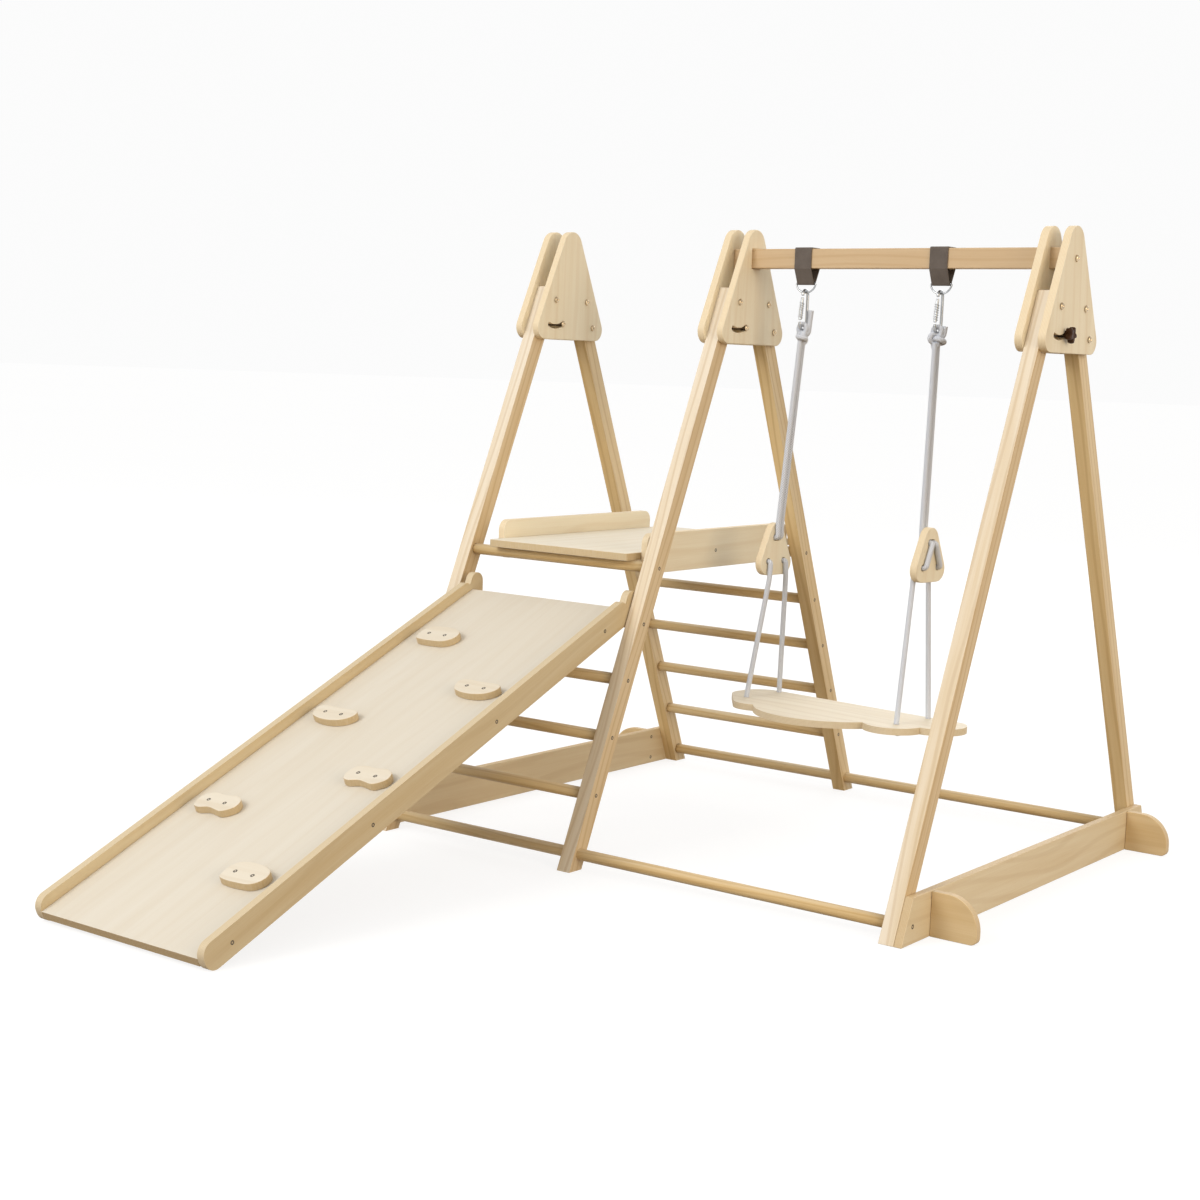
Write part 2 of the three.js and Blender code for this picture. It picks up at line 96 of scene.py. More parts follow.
def rung_z(i):
    return RUNG_Z1 + i * RUNG_STEP


def leg_y(z):
    return FOOT_Y - z * LEG_SLOPE


PIVOT_Y = -leg_y(PIVOT_Z)
HOOK_Z = rung_z(4)
HOOK_Y = -leg_y(HOOK_Z)


def row(x, y, z):
    """A layout point in the row frame."""
    return Vector((x, y + ORIGIN_Y, z))


def on_ramp(x, along, up):
    """A point of the ramp, measured from the middle of the rung that it hooks over."""
    c, s = math.cos(RAMP_TILT), math.sin(RAMP_TILT)
    return row(x, HOOK_Y + along * c - up * s, HOOK_Z + along * s + up * c)


# ---- camera ----
CAM_AT = (2.0922164, -2.9693611, 0.9445682)
CAM_AZ, CAM_DOWN, CAM_ROLL = 0.6392582, 0.118728, 0.035806
CAM_LENS = 59.556
ahead = Vector(
    (
        -math.sin(CAM_AZ) * math.cos(CAM_DOWN),
        math.cos(CAM_AZ) * math.cos(CAM_DOWN),
        -math.sin(CAM_DOWN),
    )
)
level = Vector((math.cos(CAM_AZ), math.sin(CAM_AZ), 0))
above = level.cross(ahead)
right = level * math.cos(CAM_ROLL) + above * math.sin(CAM_ROLL)
up = above * math.cos(CAM_ROLL) - level * math.sin(CAM_ROLL)
camera = bpy.data.objects.new("camera", bpy.data.cameras.new("camera"))
camera.data.lens = CAM_LENS
camera.data.sensor_width = 36
camera.data.clip_end = 200
turned = Matrix((right, up, -ahead)).transposed().to_4x4()
camera.matrix_world = Matrix.Translation(CAM_AT) @ turned
bpy.context.scene.collection.objects.link(camera)
bpy.context.scene.camera = camera


# ---- node-tree helpers ----
class Shader:
    """A material's node tree, built by small calls that return sockets."""

    def __init__(self, name, **constants):
        self.material = bpy.data.materials.new(name)
        self.material.use_nodes = True
        self.tree = self.material.node_tree
        self.tree.nodes.clear()
        self.out = self.tree.nodes.new("ShaderNodeOutputMaterial")
        self.bsdf = self.tree.nodes.new("ShaderNodeBsdfPrincipled")
        self.tree.links.new(self.bsdf.outputs[0], self.out.inputs["Surface"])
        for key, value in constants.items():
            self.bsdf.inputs[key.replace("_", " ")].default_value = value

    def node(self, kind, inputs=(), **settings):
        n = self.tree.nodes.new("ShaderNode" + kind)
        for key, value in settings.items():
            setattr(n, key, value)
        for key, value in dict(inputs).items():
            if isinstance(value, bpy.types.NodeSocket):
                self.tree.links.new(value, n.inputs[key])
            else:
                n.inputs[key].default_value = value
        return n

    def math(self, operation, a, b=0.0, c=0.0, clamp=False):
        n = self.node("Math", {0: a, 1: b, 2: c}, operation=operation, use_clamp=clamp)
        return n.outputs[0]

    def dot(self, vector, axis):
        return self.node("VectorMath", {0: vector, 1: tuple(axis)}, operation="DOT_PRODUCT").outputs["Value"]

    def scaled(self, vector, scale):
        return self.node("VectorMath", {0: vector, 1: tuple(scale)}, operation="MULTIPLY").outputs[0]

    def noise(self, vector, scale=1.0, detail=3.0, rough=0.55, distortion=0.0):
        inputs = {"Vector": vector, "Scale": scale, "Detail": detail, "Roughness": rough}
        inputs["Distortion"] = distortion
        return self.node("TexNoise", inputs).outputs["Fac"]

    def remap(self, value, low, high, to_low=0.0, to_high=1.0, smooth=False):
        inputs = {"Value": value, "From Min": low, "From Max": high, "To Min": to_low, "To Max": to_high}
        kind = "SMOOTHSTEP" if smooth else "LINEAR"
        return self.node("MapRange", inputs, interpolation_type=kind).outputs[0]

    def mix(self, fac, a, b, blend="MIX"):
        n = self.node("Mix", data_type="RGBA", blend_type=blend, clamp_factor=True)
        for key, value in ((0, fac), (6, a), (7, b)):
            if isinstance(value, bpy.types.NodeSocket):
                self.tree.links.new(value, n.inputs[key])
            else:
                n.inputs[key].default_value = value
        return n.outputs[2]

    def set(self, **sockets):
        for key, value in sockets.items():
            self.tree.links.new(value, self.bsdf.inputs[key.replace("_", " ")])

    def bump(self, height, strength, distance):
        inputs = {"Height": height, "Strength": strength, "Distance": distance}
        self.set(Normal=self.node("Bump", inputs).outputs[0])


def rgb(r, g, b):
    return (r, g, b, 1.0)


# ---- wood ----
# Each tone is (light, dark, ring line, edge) in linear colour. The edge colour is for a board's edges.
TONES = {
    "plate": (
        rgb(0.83, 0.75, 0.575), rgb(0.74, 0.625, 0.435),
        rgb(0.62, 0.44, 0.24), rgb(0.80, 0.66, 0.44),
    ),
    "rail": (
        rgb(0.63, 0.515, 0.325), rgb(0.545, 0.405, 0.215),
        rgb(0.42, 0.275, 0.12), rgb(0.66, 0.545, 0.365),
    ),
    "foot": (
        rgb(0.68, 0.51, 0.28), rgb(0.58, 0.40, 0.185),
        rgb(0.44, 0.28, 0.11), rgb(0.66, 0.51, 0.31),
    ),
    "board": (
        rgb(0.73, 0.61, 0.41), rgb(0.64, 0.49, 0.285),
        rgb(0.50, 0.335, 0.16), rgb(0.58, 0.42, 0.22),
    ),
    "deck": (
        rgb(0.78, 0.72, 0.59), rgb(0.73, 0.645, 0.50),
        rgb(0.60, 0.47, 0.30), rgb(0.52, 0.38, 0.19),
    ),
    "ramp": (
        rgb(0.685, 0.63, 0.53), rgb(0.65, 0.58, 0.465),
        rgb(0.57, 0.46, 0.32), rgb(0.36, 0.225, 0.065),
    ),
    "hold": (
        rgb(0.73, 0.66, 0.54), rgb(0.68, 0.59, 0.45),
        rgb(0.50, 0.36, 0.19), rgb(0.50, 0.365, 0.185),
    ),
    "seat": (
        rgb(0.78, 0.70, 0.55), rgb(0.71, 0.615, 0.455),
        rgb(0.42, 0.29, 0.14), rgb(0.70, 0.575, 0.38),
    ),
    "solid": (
        rgb(0.79, 0.665, 0.485), rgb(0.655, 0.49, 0.275),
        rgb(0.50, 0.325, 0.14), rgb(0.66, 0.50, 0.29),
    ),
    "rear": (
        rgb(0.74, 0.60, 0.395), rgb(0.60, 0.43, 0.215),
        rgb(0.44, 0.275, 0.10), rgb(0.60, 0.43, 0.22),
    ),
    "bar": (
        rgb(0.63, 0.46, 0.27), rgb(0.545, 0.37, 0.195),
        rgb(0.45, 0.27, 0.11), rgb(0.5, 0.33, 0.16),
    ),
}
PLY_LAYERS = 11
# Painted light and shade: sawn wood is tinted one way on the faces along its face axis and another way on the
# faces between them, lighter or darker as the light falls on those sides.
SIDE_SHADE_TINTS = {
    "solid": (rgb(0.87, 0.81, 0.70), rgb(1.0, 1.04, 1.13)),
    "rear": (rgb(1.0, 1.0, 0.98), rgb(0.95, 0.88, 0.70)),
}
# How many radians of growth rings to a metre, across the grain and through the thickness.
SAWN_RINGS = (420.0, 330.0)
PEELED_RINGS = (160.0, 0.0)
RING_STRENGTH = {
    "solid": 0.34, "rear": 0.34, "bar": 0.24, "plate": 0.16, "board": 0.20, "rail": 0.16, "ramp": 0.07,
    "foot": 0.12, "deck": 0.12, "hold": 0.12, "seat": 0.12,
}


def wood(name, tone, along, face, seed, start=None, thick=PLY):
    """Wood with its grain along one direction. A board shows its plies on its edges, from start along face."""
    light, dark, line, edge = TONES[tone]
    along, face = Vector(along).normalized(), Vector(face).normalized()
    across = face.cross(along)
    s = Shader(name, IOR=1.48)
    coordinates = s.node("TexCoord").outputs
    at = coordinates["Object"]
    facing = s.math("ABSOLUTE", s.dot(coordinates["Normal"], face))
    axes = [s.dot(at, axis) for axis in (along, across, face)]
    rnd = random.Random(seed)
    inputs = {key: s.math("ADD", axis, rnd.uniform(-3, 3)) for key, axis in zip(("X", "Y", "Z"), axes)}
    grain = s.node("CombineXYZ", inputs).outputs[0]

    # The figure: wide soft bands, broken by a slow wander, as rotary-cut birch and pine have.
    wander = s.noise(s.scaled(grain, (1.1, 5.0, 5.0)), 1.0, 2.0, 0.5)
    bands = s.noise(s.scaled(grain, (1.6, 34.0, 34.0)), 1.0, 3.0, 0.55, 0.35)
    pitch = SAWN_RINGS if start is None else PEELED_RINGS
    rings = s.math("MULTIPLY_ADD", axes[2], pitch[1], s.math("MULTIPLY", axes[1], pitch[0]))
    rings = s.math("SINE", s.math("MULTIPLY_ADD", wander, 34.0, rings))
    rings = s.remap(rings, 0.35, 1.0, 0.0, 1.0, smooth=True)
    fibre = s.noise(s.scaled(grain, (9.0, 620.0, 620.0)), 1.0, 4.0, 0.6)
    fleck = s.noise(s.scaled(grain, (150.0, 900.0, 900.0)), 1.0, 1.0, 0.5)
    fleck = s.remap(fleck, 0.70, 0.80, 0.0, 1.0, smooth=True)

    tint = s.math("MULTIPLY_ADD", s.remap(bands, 0.30, 0.72), 0.75, s.remap(fibre, 0.25, 0.75, -0.18, 0.18))
    colour = s.mix(tint, light, dark)
    colour = s.mix(s.math("MULTIPLY", rings, RING_STRENGTH[tone]), colour, line)
    colour = s.mix(s.math("MULTIPLY", fleck, 0.30), colour, line)
    if start is not None:
        depth = s.math("DIVIDE", s.math("SUBTRACT", axes[2], start), thick)
        wave = s.math("SINE", s.math("MULTIPLY", depth, math.pi * PLY_LAYERS))
        inner = s.math("MULTIPLY", s.remap(depth, 0.05, 0.09), s.remap(depth, 0.95, 0.91))
        ends = s.noise(s.scaled(grain, (420.0, 420.0, 60.0)), 1.0, 3.0, 0.6)
        on_edge = s.remap(facing, 0.75, 0.35, 0.0, 1.0, smooth=True)
        colour = s.mix(s.math("MULTIPLY", on_edge, s.remap(ends, 0.2, 0.8, 0.7, 1.0)), colour, edge)
        plies = s.math("MULTIPLY", s.remap(wave, -0.35, -0.75, 0.0, 1.0, smooth=True), inner)
        plies = s.math("MULTIPLY", plies, s.remap(ends, 0.2, 0.8, 0.25, 0.65))
        colour = s.mix(s.math("MULTIPLY", plies, on_edge), colour, line)
    # Painted light and shade: each side of a leg or rung takes the tint for how the light falls on it.
    if tone in SIDE_SHADE_TINTS:
        face_shading, between_shading = SIDE_SHADE_TINTS[tone]
        tint = s.mix(s.remap(facing, 0.35, 0.75, smooth=True), between_shading, face_shading)
        colour = s.mix(1.0, colour, tint, "MULTIPLY")
    s.set(Base_Color=colour, Roughness=s.remap(fibre, 0.2, 0.8, 0.50, 0.64))
    s.bump(s.math("MULTIPLY_ADD", fleck, -0.6, fibre), 0.10, 0.0004)
    return s.material


# ---- shading and rounding of the CAD's own meshes ----
def dress(node, material, bevel=0.0, segments=3, subdivide=0):
    """Gives a CAD node its material, rounded edges and smooth shading. Its vertices stay as they are."""
    o = NODES[node]
    mesh = o.data
    if "custom_normal" in mesh.attributes:
        mesh.attributes.remove(mesh.attributes["custom_normal"])
    mesh.polygons.foreach_set("use_smooth", [True] * len(mesh.polygons))
    mesh.materials.clear()
    mesh.materials.append(material)
    weld = o.modifiers.new("weld", "WELD")
    weld.merge_threshold = 0.00001
    flat = o.modifiers.new("flat faces", "DECIMATE")
    flat.decimate_type = "DISSOLVE"
    flat.angle_limit = math.radians(0.4)
    if bevel:
        b = o.modifiers.new("rounded edges", "BEVEL")
        b.width = bevel
        b.segments = segments
        b.limit_method = "ANGLE"
        b.angle_limit = math.radians(38)
        b.use_clamp_overlap = True
        b.loop_slide = False
        o.modifiers.new("even normals", "WEIGHTED_NORMAL").keep_sharp = True
    if subdivide:
        o.modifiers.remove(flat)
        smooth = o.modifiers.new("smooth", "SUBSURF")
        smooth.levels = smooth.render_levels = subdivide
    return o


SLOPE_LENGTH = math.hypot(1, LEG_SLOPE)
LEG_UP = {
    "front": (0, LEG_SLOPE / SLOPE_LENGTH, 1 / SLOPE_LENGTH),
    "rear": (0, -LEG_SLOPE / SLOPE_LENGTH, 1 / SLOPE_LENGTH),
}
RAMP_DOWN = Vector((0, -math.cos(RAMP_TILT), -math.sin(RAMP_TILT)))
RAMP_UP = Vector((0, -math.sin(RAMP_TILT), math.cos(RAMP_TILT)))
X, Y, Z = Vector((1, 0, 0)), Vector((0, 1, 0)), Vector((0, 0, 1))


def lowest(node, axis):
    """Where a node starts along an axis, in the row frame."""
    return min(v.co.dot(axis) for v in NODES[node].data.vertices)


for seed, node in enumerate(sorted(NODES)):
    kind = node.split("_")[0]
    if "leg" in node:
        dress(node, wood(node, "solid" if kind == "front" else "rear", LEG_UP[kind], X, seed), 0.0018)
    elif "rung" in node:
        dress(node, wood(node, "rear", X, Z, seed))
    elif kind == "gusset":
        dress(node, wood(node, "plate", Z, X, seed, lowest(node, X)), 0.0024)
    elif node == "swing_bar":
        dress(node, wood(node, "bar", X, Y, seed), 0.0015)
    elif kind == "base":
        dress(node, wood(node, "board", Y, X, seed, lowest(node, X)), 0.0012)
    elif kind == "outrigger":
        dress(node, wood(node, "foot", X, Y, seed, lowest(node, Y)), 0.0015)
    elif node == "platform_deck":
        dress(node, wood(node, "deck", Y, Z, seed, lowest(node, Z)), 0.0015)
    elif kind == "platform":
        dress(node, wood(node, "plate", Y, X, seed, lowest(node, X)), 0.0015)
    elif node == "ramp_deck":
        dress(node, wood(node, "ramp", RAMP_DOWN, RAMP_UP, seed, lowest(node, RAMP_UP)), 0.0008)
    elif kind == "ramp":
        dress(node, wood(node, "rail", RAMP_DOWN, X, seed, lowest(node, X)), 0.0018)
    elif kind == "climbing":
        dress(node, wood(node, "hold", X, RAMP_UP, seed, lowest(node, RAMP_UP)), 0.0018)
    elif kind == "adjuster":
        turned_x = Vector((math.cos(SEAT_TURN), math.sin(SEAT_TURN), 0))
        dress(node, wood(node, "plate", Z, turned_x, seed, lowest(node, turned_x)), 0.0018)
    elif node == "swing_seat":
        seat_along = (math.cos(SEAT_TURN), math.sin(SEAT_TURN), 0)
        dress(node, wood(node, "seat", seat_along, Z, seed, lowest(node, Z), SEAT_T), 0.0018)


# ---- other materials ----
def metal(name, colour, rough):
    s = Shader(name, Metallic=1.0)
    at = s.node("TexCoord").outputs["Object"]
    mottle = s.noise(at, 900.0, 3.0, 0.6)
    stain = s.noise(at, 60.0, 2.0, 0.5)
    dull = tuple(c * 0.78 for c in colour)
    s.set(
        Base_Color=s.mix(s.remap(stain, 0.35, 0.7), rgb(*colour), rgb(*dull)),
        Roughness=s.remap(mottle, 0.3, 0.7, rough - 0.06, rough + 0.10),
    )
    s.bump(mottle, 0.05, 0.0002)
    return s.material


zinc = metal("zinc", (0.46, 0.47, 0.48), 0.20)
nickel = metal("nickel", (0.62, 0.48, 0.31), 0.24)
screw_steel = metal("screw_steel", (0.115, 0.095, 0.075), 0.42)
# Painted shade: the lock bolts' shafts are dark brown, standing for the shade inside the curved slots they show
# through.
slot_shade_steel = metal("slot_shade_steel", (0.10, 0.065, 0.035), 0.5)


def moulded(name, colour):
    s = Shader(name, IOR=1.38, Specular_IOR_Level=0.25)
    at = s.node("TexCoord").outputs["Object"]
    grainy = s.noise(at, 1400.0, 2.0, 0.5)
    cloudy = s.noise(at, 90.0, 2.0, 0.5)
    paler = tuple(min(1.0, c * 1.35 + 0.004) for c in colour)
    s.set(
        Base_Color=s.mix(s.remap(cloudy, 0.3, 0.7), rgb(*colour), rgb(*paler)),
        Roughness=s.remap(grainy, 0.3, 0.7, 0.36, 0.48),
    )
    s.bump(grainy, 0.12, 0.0002)
    return s.material


knob_plastic = moulded("knob_plastic", (0.040, 0.014, 0.003))

BRAID_STRANDS = 6
BRAID_LAY = 0.030


def braided(name):
    """Braided rope. The strands cross in the mesh, and the colour follows them through the piece's own UVs,
    with painted shade in the valleys between the strands.
    """
    s = Shader(name, Roughness=0.85)
    uv = s.node("UVMap", uv_map="rope").outputs[0]
    parts = s.node("SeparateXYZ", {0: uv})
    turn = s.math("MULTIPLY", parts.outputs["X"], 2 * math.pi * BRAID_STRANDS)
    lay = s.math("MULTIPLY", parts.outputs["Y"], 2 * math.pi * BRAID_STRANDS / BRAID_LAY)
    one = s.math("COSINE", s.math("ADD", turn, lay))
    two = s.math("COSINE", s.math("SUBTRACT", turn, lay))
    high = s.math("MAXIMUM", one, two)
    at = s.node("TexCoord").outputs["Object"]
    fuzz = s.noise(at, 1800.0, 3.0, 0.6)
    yarn = s.math("SINE", s.math("MULTIPLY", s.math("ADD", turn, s.math("MULTIPLY", lay, 3.0)), 4.0))
    # Painted shade: darker where the strands sink between each other, plus the fibres' own random tone from the
    # fuzz.
    tint = s.math("ADD", s.remap(high, -0.2, 0.9), s.remap(fuzz, 0.3, 0.7, -0.12, 0.12), clamp=True)
    s.set(Base_Color=s.mix(tint, rgb(0.44, 0.46, 0.50), rgb(0.71, 0.735, 0.79)))
    s.bump(s.math("MULTIPLY_ADD", yarn, 0.25, fuzz), 0.35, 0.0004)
    return s.material


rope_white = braided("rope_white")


def webbing(name):
    """Flat woven strap, its ribs laid out in the strap's own UVs, in metres across and along, with painted
    shade where the ribs sink.
    """
    s = Shader(name, Roughness=0.82, Sheen_Weight=0.25, Sheen_Roughness=0.5)
    uv = s.node("UVMap", uv_map="weave").outputs[0]
    parts = s.node("SeparateXYZ", {0: uv})
    warp = s.math("SINE", s.math("MULTIPLY", parts.outputs["X"], 2 * math.pi / 0.0016))
    weft = s.math("SINE", s.math("MULTIPLY", parts.outputs["Y"], 2 * math.pi / 0.0022))
    cross = s.math("MULTIPLY", warp, weft)
    at = s.node("TexCoord").outputs["Object"]
    fuzz = s.noise(at, 700.0, 4.0, 0.6)
    worn = s.noise(at, 45.0, 3.0, 0.55)
    height = s.math("MULTIPLY_ADD", cross, 0.35, s.math("MULTIPLY_ADD", fuzz, 0.4, 0.4))
    # Painted shade: the weave is darker where its ribs sink, with the fibres' own random tone from the fuzz.
    colour = s.mix(s.remap(height, 0.2, 0.9), rgb(0.060, 0.046, 0.037), rgb(0.140, 0.112, 0.092))
    colour = s.mix(s.remap(worn, 0.35, 0.75, 0.0, 0.35), colour, rgb(0.18, 0.15, 0.13))
    s.set(Base_Color=colour)
    s.bump(height, 0.55, 0.0006)
    return s.material


strap_weave = webbing("strap_weave")


def thread(name):
    s = Shader(name, Roughness=0.8)
    at = s.node("TexCoord").outputs["Object"]
    twist = s.noise(at, 2500.0, 2.0, 0.5)
    s.set(Base_Color=s.mix(s.remap(twist, 0.3, 0.7), rgb(0.05, 0.045, 0.04), rgb(0.14, 0.125, 0.11)))
    return s.material


strap_thread = thread("strap_thread")


# ---- mesh builders ----
def piece(name, points, faces, material, body, uv=None, smooth=True):
    """A new piece from points and faces, riding on a body. uv is (layer name, one pair for each point)."""
    mesh = bpy.data.meshes.new(name)
    mesh.from_pydata([tuple(p) for p in points], [], faces)
    mesh.polygons.foreach_set("use_smooth", [smooth] * len(mesh.polygons))
    if uv:
        layer = mesh.uv_layers.new(name=uv[0])
        for loop in mesh.loops:
            layer.data[loop.index].uv = uv[1][loop.vertex_index]
    mesh.materials.append(material)
    mesh.update()
    o = bpy.data.objects.new(name, mesh)
    bpy.context.scene.collection.objects.link(o)
    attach(o, body)
    return o


def turning_frames(line, closed=False):
    """Two unit vectors across a line at each of its points, turning as little as possible along it."""
    count = len(line)
    ahead_of = [line[(i + 1) % count] if closed else line[min(i + 1, count - 1)] for i in range(count)]
    behind = [line[i - 1] if closed else line[max(i - 1, 0)] for i in range(count)]
    normal = Vector((0.31, 0.83, 0.46))
    frames = []
    for a, b in zip(ahead_of, behind):
        tangent = (a - b).normalized()
        normal = (normal - tangent * normal.dot(tangent)).normalized()
        frames.append((normal.copy(), tangent.cross(normal)))
    return frames


def even(line, step):
    """The line again, with points about step apart."""
    p = np.array([tuple(q) for q in line])
    along = np.concatenate([[0], np.cumsum(np.linalg.norm(np.diff(p, axis=0), axis=1))])
    at = np.linspace(0, along[-1], max(2, int(round(along[-1] / step)) + 1))
    return [Vector(q) for q in np.stack([np.interp(at, along, p[:, k]) for k in range(3)], axis=1)]


def rounded(points, radius, steps=7):
    """The same points with every corner turned into an arc."""
    out = [Vector(points[0])]
    for before, here, after in zip(points, points[1:], points[2:]):
        before, here, after = Vector(before), Vector(here), Vector(after)
        back, on = before - here, after - here
        half = back.angle(on) / 2
        if math.pi - 2 * half < 0.02:
            out.append(here)
            continue
        reach = min(radius / math.tan(half), back.length * 0.49, on.length * 0.49)
        start, end = here + back.normalized() * reach, here + on.normalized() * reach
        middle = ((start + end) / 2 - here).normalized()
        centre = here + middle * (reach / math.cos(half))
        turn = Matrix.Rotation((math.pi - 2 * half) / steps, 3, (start - centre).cross(end - centre))
        spoke = start - centre
        for _ in range(steps + 1):
            out.append(centre + spoke)
            spoke = turn @ spoke
    return out + [Vector(points[-1])]


ROPE_SIDES = 24
ROPE_STEP = 0.0016
BRAID_HIGH = 0.00035


def rope_piece(name, line, closed=False, radius=ROPE_R, step=ROPE_STEP):
    """A length of braided rope along a line, its strands standing out of the surface."""
    line = even(list(line) + [line[0]] if closed else line, step)
    if closed:
        line = line[:-1]
    frames = turning_frames(line, closed)
    points, uvs, faces = [], [], []
    gone = 0.0
    for i, (p, (n, s)) in enumerate(zip(line, frames)):
        if i:
            gone += (p - line[i - 1]).length
        lay = 2 * math.pi * BRAID_STRANDS * gone / BRAID_LAY
        for k in range(ROPE_SIDES):
            a = 2 * math.pi * k / ROPE_SIDES
            high = max(math.cos(BRAID_STRANDS * a + lay), math.cos(BRAID_STRANDS * a - lay))
            r = radius + BRAID_HIGH * (high - 0.6)
            points.append(p + n * (r * math.cos(a)) + s * (r * math.sin(a)))
            uvs.append((k / ROPE_SIDES, gone))
    rings = len(line)
    for i in range(rings if closed else rings - 1):
        j = (i + 1) % rings
        for k in range(ROPE_SIDES):
            m = (k + 1) % ROPE_SIDES
            faces.append((i * ROPE_SIDES + k, i * ROPE_SIDES + m, j * ROPE_SIDES + m, j * ROPE_SIDES + k))
    if not closed:
        faces.append(tuple(reversed(range(ROPE_SIDES))))
        faces.append(tuple((rings - 1) * ROPE_SIDES + k for k in range(ROPE_SIDES)))
    o = piece(name, points, faces, rope_white, "swing", ("rope", uvs))
    return o, line


def revolved(at, axis, rings, sides=24):
    """Points and faces of a turned shape. A ring is (radius, height), and its radius may vary by angle."""
    axis = Vector(axis).normalized()
    side = axis.orthogonal().normalized()
    other = axis.cross(side)
    points, faces = [], []
    for radius, height in rings:
        for k in range(sides):
            a = 2 * math.pi * k / sides
            r = radius(a) if callable(radius) else radius
            points.append(at + axis * height + side * (r * math.cos(a)) + other * (r * math.sin(a)))
    for i in range(len(rings) - 1):
        for k in range(sides):
            m = (k + 1) % sides
            faces.append((i * sides + k, i * sides + m, (i + 1) * sides + m, (i + 1) * sides + k))
    faces.append(tuple(reversed(range(sides))))
    faces.append(tuple((len(rings) - 1) * sides + k for k in range(sides)))
    return points, faces


def joined(shapes):
    """Several (points, faces) as one."""
    points, faces = [], []
    for p, f in shapes:
        first = len(points)
        points += p
        faces += [tuple(i + first for i in face) for face in f]
    return points, faces


def hexagon(flat):
    """Radius of a hexagonal socket at an angle, half its width across flats."""
    return lambda a: flat / math.cos((a + math.pi / 6) % (math.pi / 3) - math.pi / 6)


def cross_slot(reach, half_width):
    """Radius of a cross recess at an angle."""

    def radius(a):
        b = a % (math.pi / 2)
        b = min(b, math.pi / 2 - b)
        return min(reach, half_width / max(math.sin(b), 1e-6)) if b > 1e-6 else reach

    return radius


def cap_bolt(at, axis):
    """A low domed bolt head with a hexagonal socket."""
    socket = hexagon(0.0021)
    rings = [
        (0.0052, -0.0002), (0.0052, 0.0009), (0.0064, 0.0010), (0.0064, 0.0019), (0.0059, 0.0029),
        (0.0048, 0.0038), (0.0036, 0.0042), (socket, 0.0042), (socket, 0.0016),
    ]
    return revolved(at, axis, rings, 36)


def wood_screw(at, axis, radius=0.0038):
    """A countersunk screw head that stands a hair proud, with a cross recess."""
    slot = cross_slot(radius * 0.62, radius * 0.16)
    rings = [
        (radius, -0.0004), (radius, 0.00004), (radius * 0.93, 0.00016), (radius * 0.72, 0.00014),
        (slot, 0.0001), (slot, -0.0003),
    ]
    return revolved(at, axis, rings, 32)


def fasteners(name, spots, make, material, body):
    """One piece that holds all of a body's fasteners of a kind. spots are (point, direction)."""
    points, faces = joined([make(at, axis) for at, axis in spots])
    o = piece(name, points, faces, material, body)
    o.modifiers.new("even normals", "WEIGHTED_NORMAL")
    o.data.polygons.foreach_set("use_smooth", [len(p.vertices) == 4 for p in o.data.polygons])
    return o


# ---- bolts and screws ----
PLATE_OUT = LEG_W / 2 + GAP + PLY
plate_bolts = []
for i, x in enumerate(FRAME_X):
    for out in (-1, 1):
        for y, z in ((PIVOT_Y, PIVOT_Z), (leg_y(1.074), 1.074), (leg_y(1.019), 1.019)):
            plate_bolts.append((row(x + out * PLATE_OUT, y, z), X * out))
for i, out in ((1, -1), (2, 1)):
    plate_bolts.append((row(FRAME_X[i] + out * PLATE_OUT, 0, BAR_Z), X * out))
fasteners("plate_bolts", plate_bolts, cap_bolt, nickel, "rear_frame")

for word, side, body in (("front", -1, "front_frame"), ("rear", 1, "rear_frame")):
    spots = []
    for r in range(1, 6):
        for i, out in ((0, -1), (1, 1)):
            spots.append((row(FRAME_X[i] + out * LEG_W / 2, side * leg_y(rung_z(r)), rung_z(r)), X * out))
    fasteners(f"rung_screws_{word}", spots, wood_screw, screw_steel, body)

base_bolts, base_screws = [], []
for i, out in ((0, -1), (2, 1)):
    face = FRAME_X[i] + out * (LEG_W / 2 + GAP)
    for end in (-1, 1):
        base_bolts.append((row(face + out * PLY, end * 0.493, 0.030), X * out))
    for y in (-0.4235, 0.4255):
        for z in (0.014, 0.063):
            base_screws.append((row(face, y, z), X * -out))
fasteners("base_bolts", base_bolts, lambda at, axis: wood_screw(at, axis, 0.0042), screw_steel, "front_frame")
fasteners("base_screws", base_screws, wood_screw, screw_steel, "front_frame")

platform_screws = []
for x, out in ((PLAT_X[0], -1), (PLAT_X[1], 1)):
    for y in (-0.215, -0.017, 0.215):
        platform_screws.append((row(x, y, 0.573), X * out))
fasteners("platform_screws", platform_screws, wood_screw, screw_steel, "platform")

ramp_screws = []
for x, out in ((RAMP_X[0], -1), (RAMP_X[1], 1)):
    for along in (-0.079, -0.421, -0.763, -1.101):
        ramp_screws.append((on_ramp(x, along, DECK_TOP - PLY / 2), X * out))
ramp_mid = sum(RAMP_X) / 2
for k in range(6):
    x = ramp_mid + (HOLD_HALF_X if k % 2 else -HOLD_HALF_X)
    for dx in (-0.020, 0.020):
        ramp_screws.append((on_ramp(x + dx, -HOLD_FIRST - k * HOLD_STEP, DECK_TOP + GAP + HOLD_T), RAMP_UP))
fasteners("ramp_screws", ramp_screws, wood_screw, screw_steel, "ramp")


# ---- lock bolts with star knobs ----
def star(a):
    """Outline of the five-lobed knob at an angle, as a share of its reach."""
    return 0.80 + 0.20 * math.cos(5 * (a - math.pi / 2))


